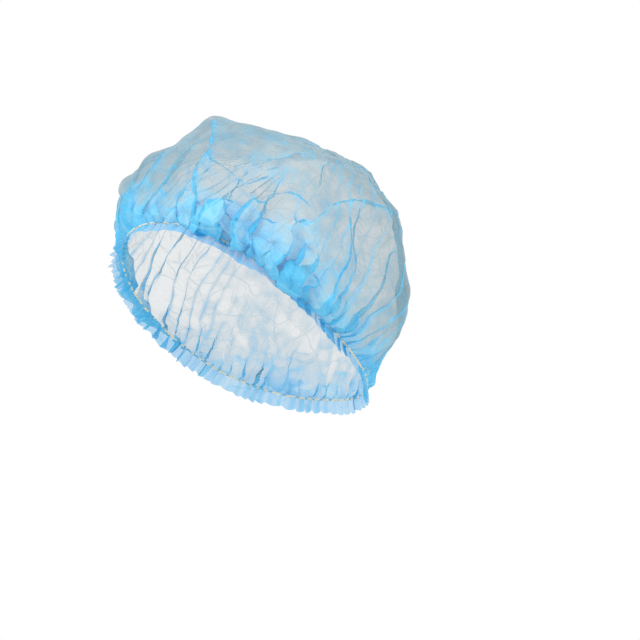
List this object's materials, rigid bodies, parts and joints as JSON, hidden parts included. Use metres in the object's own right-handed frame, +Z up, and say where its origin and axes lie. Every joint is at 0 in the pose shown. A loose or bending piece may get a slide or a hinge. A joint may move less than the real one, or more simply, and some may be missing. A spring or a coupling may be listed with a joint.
{
  "type": "disposable hairnet",
  "caption": "Pale blue bouffant cap of thin nonwoven cloth in its worn form: a slack bag gathered on an elastic thread, with a short frill below it.",
  "frame": {"origin": "centre of the head opening, in the plane of the elastic thread, where the wearer's head goes in", "axes": "+Z up with the cap as worn, -Y the way the wearer faces, +X the wearer's left; the opening is tilted 34 degrees, high at the forehead and low at the nape"},
  "size_m": [0.1993, 0.2208, 0.2021],
  "materials": {
    "crown_nonwoven": "matte, thin and see-through",
    "frill_nonwoven": "matte, gathered",
    "elastic_thread": "matte, pale yellow thread"
  },
  "bodies": {
    "root": {"crown": "crown_nonwoven", "frill": "frill_nonwoven", "elastic": "elastic_thread"}
  },
  "joints": []
}
